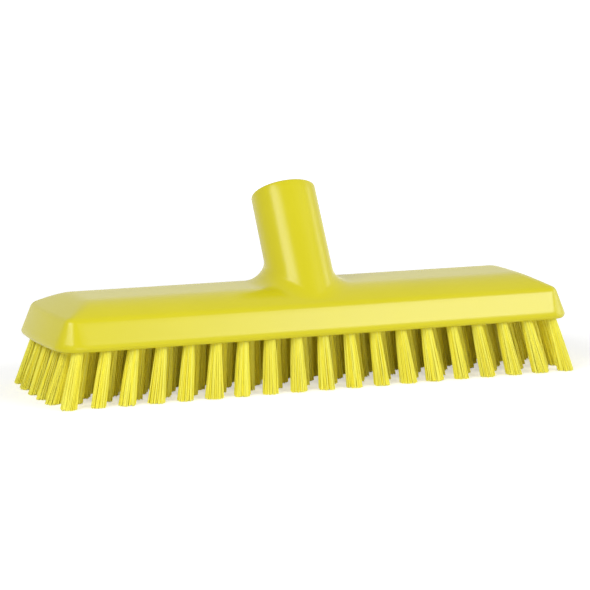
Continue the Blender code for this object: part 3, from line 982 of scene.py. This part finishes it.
@dataclass(frozen=True)
class TuftField:
    """All tufts, built as one bundle of filaments for each line across the brush."""

    # From the frame: the block's underside, and half the solids' length and width.
    underside: float
    reach_x: float
    reach_y: float
    # Where the tufts stand.
    last_column: float = 0.12366
    last_row: float = 0.0300
    columns: int = 19
    rows: int = 7
    end_tufts: int = 6
    end_row_bow: float = 0.0010
    # How they lean and open.
    tip_spread_x: float = 0.0064
    tip_spread_y: float = 0.0051
    end_tip_bow: float = 0.0018
    end_tip_bow_power: int = 4
    root_radius: float = 0.00250
    tip_radius_x: float = 0.0040
    tip_radius_y: float = 0.0034
    tip_variation: float = 0.10
    tuft_lean: float = 0.00035
    # Their filaments.
    filaments: int = 104
    crowding: float = 0.47
    filament_radius: float = 0.00029
    filament_sides: int = 5
    filament_steps: int = 4
    root_depth: float = 0.0020
    stray: float = 0.00028
    bend: float = 0.00022
    ragged: float = 0.00090
    sharp_angle: float = math.radians(75)
    seed: int = 41

    @property
    def column_step(self) -> float:
        """Distance between two lines of tufts."""
        return self.last_column / (self.columns - 1)

    @property
    def row_step(self) -> float:
        """Distance between two rows of tufts."""
        return 2 * self.last_row / (self.rows - 1)

    def end_line(self, sign: int) -> list[Plan]:
        """Find the roots of the slightly bowed line at one end.

        Args:
            sign: -1 for the left end and 1 for the right one.

        Returns:
            The roots, from front to back.
        """
        shares = [2 * number / (self.end_tufts - 1) - 1 for number in range(self.end_tufts)]
        return [(sign * (self.last_column + self.end_row_bow * (1 - share ** 2)),
                 share * self.last_row) for share in shares]

    def lines(self) -> list[list[Plan]]:
        """Find the lines of tuft roots across the brush.

        Returns:
            The lines from left to right, whose tufts stand in staggered rows.
        """
        lines = [self.end_line(-1)]
        for index in range(1, 2 * self.columns - 2):
            x = index * self.column_step - self.last_column
            rows = range(index % 2, self.rows, 2)
            lines.append([(x, row * self.row_step - self.last_row) for row in rows])
        return lines + [self.end_line(1)]

    def roots(self) -> list[Plan]:
        """Return the roots of all tufts."""
        return [root for line in self.lines() for root in line]

    def filament(self, root: Plan, tip: Plan, flare: float, number: int,
                 chance: random.Random) -> Filament:
        """Lay one filament of a tuft.

        Args:
            root: Plan place of the tuft's root.
            tip: Plan place of the middle of its tip.
            flare: How wide the tuft's tip opens, where 1 is usual.
            number: Which filament of the tuft this is.
            chance: The source of small differences.

        Returns:
            The filament, a little bent and not quite as long as its neighbours.
        """
        share = ((number + 0.5) / self.filaments) ** self.crowding
        turn = number * math.pi * GOLDEN_HALF_TURNS
        way = (math.cos(turn), math.sin(turn))
        foot = Vector((root[0] + way[0] * share * self.root_radius,
                       root[1] + way[1] * share * self.root_radius, self.underside))
        end_x = (tip[0] + way[0] * share * flare * self.tip_radius_x
                 + chance.uniform(-1, 1) * self.stray)
        end_y = (tip[1] + way[1] * share * flare * self.tip_radius_y
                 + chance.uniform(-1, 1) * self.stray)
        end = Vector((held(end_x, self.reach_x - self.filament_radius),
                      held(end_y, self.reach_y - self.filament_radius),
                      chance.random() ** 2 * self.ragged))
        sway = Vector((chance.uniform(-1, 1), chance.uniform(-1, 1), 0)) * self.bend
        points = [foot + (foot - end).normalized() * self.root_depth]
        for step in range(self.filament_steps + 1):
            place = step / self.filament_steps
            points.append(foot.lerp(end, place) + sway * math.sin(math.pi * place))
        points[0].xy = foot.xy
        return Filament(points, chance.random())

    def tuft(self, root: Plan, chance: random.Random) -> list[Filament]:
        """Lay the filaments of one tuft, which leans away from the brush's middle.

        Args:
            root: Plan place of the tuft's root.
            chance: The source of small differences.

        Returns:
            The filaments.
        """
        row_share = root[1] / self.last_row
        end_share = max(abs(root[0]) - self.last_column + self.column_step, 0) / self.column_step
        bow = self.end_tip_bow * end_share * (1 - row_share ** self.end_tip_bow_power)
        spread_x = self.tip_spread_x * root[0] / self.last_column + math.copysign(bow, root[0])
        spread_y = self.tip_spread_y * row_share * abs(row_share)
        tip = (root[0] + spread_x + chance.uniform(-1, 1) * self.tuft_lean,
               root[1] + spread_y + chance.uniform(-1, 1) * self.tuft_lean)
        flare = 1 + chance.uniform(-1, 1) * self.tip_variation
        return [self.filament(root, tip, flare, number, chance) for number in range(self.filaments)]

    def mesh(self, name: str, filaments: list[Filament]) -> bpy.types.Mesh:
        """Make one mesh of many filaments with flat sides and closed ends.

        Args:
            name: The mesh's name.
            filaments: The filaments.

        Returns:
            The mesh, which also holds each filament's tint.
        """
        vertices, faces, tints = [], [], []
        sides = self.filament_sides
        for strand in filaments:
            start = len(vertices)
            for point in strand.points:
                for side in range(sides):
                    angle = FULL_TURN * (side + strand.tint) / sides
                    vertices.append((point.x + self.filament_radius * math.cos(angle),
                                     point.y + self.filament_radius * math.sin(angle), point.z))
            tints += [strand.tint] * (len(vertices) - start)
            for ring in range(len(strand.points) - 1):
                low = start + ring * sides
                faces += [(low + side, low + (side + 1) % sides, low + sides + (side + 1) % sides,
                           low + sides + side) for side in range(sides)]
            faces.append(tuple(start + side for side in reversed(range(sides))))
            faces.append(tuple(len(vertices) - sides + side for side in range(sides)))
        made = bpy.data.meshes.new(name)
        made.from_pydata(vertices, [], [tuple(reversed(face)) for face in faces])
        made.attributes.new(TINT_ATTRIBUTE, "FLOAT", "POINT").data.foreach_set("value", tints)
        made.shade_smooth()
        made.set_sharp_from_angle(angle=self.sharp_angle)
        return made

    def build(self) -> list[bpy.types.Object]:
        """Build and dress the filaments.

        Returns:
            The objects, one for each line of tufts.
        """
        chance = random.Random(self.seed)
        material = BristleFinish().make()
        made = []
        lines = self.lines()
        for index, line in enumerate(lines):
            filaments = [strand for root in line for strand in self.tuft(root, chance)]
            name = f"filaments_{index + 1:02d}"
            strip = add_object(name, self.mesh(name, filaments), material)
            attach(strip, BODY)
            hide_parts(f"tuft_strip_{index + 1:02d}")
            made.append(strip)
        LOG.info("tufts: %d lines, %d tufts, %d filaments", len(lines), len(self.roots()),
                 len(self.roots()) * self.filaments)
        return made


# ---------------------------------------------------------------- studio


@dataclass(frozen=True)
class Softbox:
    """One soft rectangular lamp that faces the brush, with angles in degrees."""

    name: str
    azimuth: float
    elevation: float
    distance: float
    width: float
    height: float
    power: float

    def build(self, aim: Vector) -> bpy.types.Object:
        """Hang the lamp.

        Args:
            aim: The point that it faces.

        Returns:
            The lamp's object.
        """
        lamp = bpy.data.lights.new(self.name, "AREA")
        lamp.shape = "RECTANGLE"
        lamp.size = self.width
        lamp.size_y = self.height
        lamp.energy = self.power
        turn, rise = math.radians(self.azimuth), math.radians(self.elevation)
        away = Vector((math.sin(turn) * math.cos(rise), -math.cos(turn) * math.cos(rise),
                       math.sin(rise)))
        made = bpy.data.objects.new(self.name, lamp)
        made.matrix_world = Matrix.Translation(aim + away * self.distance) @ \
            away.to_track_quat("Z", "Y").to_matrix().to_4x4()
        bpy.context.scene.collection.objects.link(made)
        return made


@dataclass(frozen=True)
class Studio:
    """Camera, lamps, floor and background."""

    aim: Vector = field(default_factory=lambda: Vector((-0.00176, 0.0, 0.04075)))
    yaw: float = math.radians(-22.94)
    pitch: float = math.radians(9.25)
    roll: float = math.radians(0.14)
    distance: float = 1.34679
    focal_length_px: float = 2752.98
    sky: float = 0.28
    sky_colour: Colour = (1.0, 1.0, 1.0, 1.0)
    diffuse_bounces: int = 12
    floor_half: float = 6.0
    lamps: tuple[Softbox, ...] = (
        Softbox("key_softbox", azimuth=37, elevation=30, distance=2.2,
                width=1.00, height=0.36, power=13.2),
        Softbox("left_softbox", azimuth=-61, elevation=34, distance=1.5,
                width=0.95, height=0.50, power=9.5),
        Softbox("right_fill", azimuth=78, elevation=14, distance=1.6,
                width=0.90, height=0.80, power=5.6),
        Softbox("front_fill", azimuth=-8, elevation=5, distance=1.8,
                width=1.20, height=0.40, power=4.0),
    )

    def build_camera(self) -> bpy.types.Object:
        """Set up the camera of the photograph.

        Returns:
            The camera's object.
        """
        back = Vector((math.sin(self.yaw) * math.cos(self.pitch),
                       -math.cos(self.yaw) * math.cos(self.pitch), math.sin(self.pitch)))
        right = Vector((math.cos(self.yaw), math.sin(self.yaw), 0))
        up = back.cross(right)
        rolled = right * math.cos(self.roll) + up * math.sin(self.roll)
        up = back.cross(rolled)
        turned = Matrix((rolled, up, back)).transposed()
        data = bpy.data.cameras.new("photo_camera")
        data.sensor_width = SENSOR_WIDTH_MM
        data.lens = self.focal_length_px * SENSOR_WIDTH_MM / PHOTO_WIDTH
        camera = bpy.data.objects.new("photo_camera", data)
        camera.matrix_world = Matrix.Translation(self.aim + back * self.distance) @ turned.to_4x4()
        bpy.context.scene.collection.objects.link(camera)
        bpy.context.scene.camera = camera
        return camera

    def build_floor(self) -> bpy.types.Object:
        """Lay the pale floor.

        Returns:
            The floor's object.
        """
        half = self.floor_half
        mesh = bpy.data.meshes.new("studio_floor")
        mesh.from_pydata([(-half, -half, 0), (half, -half, 0), (half, half, 0), (-half, half, 0)],
                         [], [(0, 1, 2, 3)])
        floor = add_object("studio_floor", mesh, StudioFloorFinish().make())
        floor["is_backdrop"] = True
        return floor

    def build_sky(self) -> None:
        """Make the background white to the eye and a plain soft light on the brush."""
        world = bpy.data.worlds.new("studio_sky")
        bpy.context.scene.world = world
        world.use_nodes = True
        nodes = NodeMaker(world.node_tree)
        seen = nodes.seen_directly()
        light = nodes.add("ShaderNodeBackground", {}, {
            "Color": self.sky_colour,
            "Strength": seen * (1 - self.sky) + self.sky,
        })
        nodes.node("ShaderNodeOutputWorld", {}, {"Surface": light})

    def build(self) -> None:
        """Build the studio."""
        bpy.context.scene.view_settings.view_transform = "Standard"
        bpy.context.scene.cycles.diffuse_bounces = self.diffuse_bounces
        self.build_camera()
        self.build_floor()
        self.build_sky()
        for lamp in self.lamps:
            lamp.build(self.aim)
        LOG.info("studio: %d lamps", len(self.lamps))


def plain_box(box: Iterable[Iterable[float]]) -> list[list[float]]:
    """Return a box's corners as plain lists of numbers."""
    return [[float(number) for number in corner] for corner in box]


def main() -> None:
    """Build the studio and the brush."""
    logging.basicConfig(level=logging.INFO, format="%(name)s: %(message)s")
    solids = plain_box(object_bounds())
    Studio().build()
    block = MouldedBlock.from_frame()
    tufts = TuftField(underside=block.underside, reach_x=solids[1][0], reach_y=solids[1][1])
    block.build(tufts.roots())
    tufts.build()


if __name__ == "__main__":
    main()
